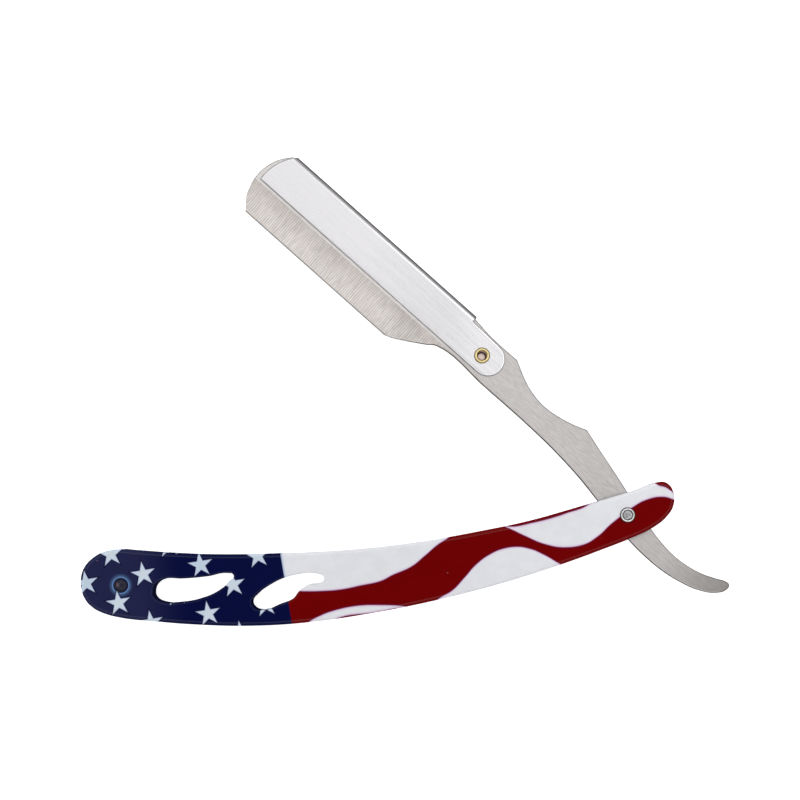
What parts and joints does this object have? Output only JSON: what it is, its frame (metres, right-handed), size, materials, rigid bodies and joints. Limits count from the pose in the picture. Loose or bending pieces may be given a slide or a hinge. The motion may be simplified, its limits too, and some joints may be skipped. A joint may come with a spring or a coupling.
{
  "type": "straight razor",
  "caption": "Folding barber's razor: printed two-sided handle, steel arm with tail, split head for a half blade and a swing-over locking cover.",
  "frame": {"origin": "centre of the object's box in X and Y, on the ground plane that the back rivet heads stand on", "axes": "+X towards the pivot end of the handle, +Y towards the open blade's nose, +Z from the back scale to the front scale"},
  "size_m": [0.1624, 0.1176, 0.0079],
  "materials": {
    "printed_enamel": "glossy printed enamel, blue with white stars at the butt, red and white waves towards the pivot",
    "butt_rivet_enamel": "glossy blue enamel over a domed rivet head",
    "arm_steel": "brushed lengthwise, ground zone brushed crosswise",
    "cover_steel": "bright, finely brushed lengthwise",
    "blade_steel": "fine ground blade steel",
    "eyelet_brass": "polished",
    "polished_steel": "polished",
    "plain_steel": "plain turned steel"
  },
  "bodies": {
    "handle": {"front_scale": "printed_enamel", "back_scale": "printed_enamel", "butt_rivet": "butt_rivet_enamel", "butt_spacer": "plain_steel", "pivot_rivet": "plain_steel", "pivot_collar_front": "polished_steel", "pivot_collar_back": "polished_steel", "pivot_washer_front": "plain_steel", "pivot_washer_back": "plain_steel"},
    "arm": {"blade_arm": "arm_steel", "back_leaf": "arm_steel", "half_blade": "blade_steel", "blade_stud_1": "plain_steel", "blade_stud_2": "plain_steel", "blade_stud_3": "plain_steel", "eyelet": "eyelet_brass"},
    "cover": {"swing_cover": "cover_steel"}
  },
  "joints": [
    {"name": "arm_pivot", "type": "hinge", "parent": "handle", "child": "arm", "pos_m": [0.05534, -0.03106, 0.00395], "axis": [0, 0, 1], "range_deg": [-305, 48]},
    {"name": "cover_swing", "type": "hinge", "parent": "arm", "child": "cover", "pos_m": [0.01915, 0.00889, 0.00395], "axis": [0, 0, -1], "range_deg": [0, 110]}
  ]
}
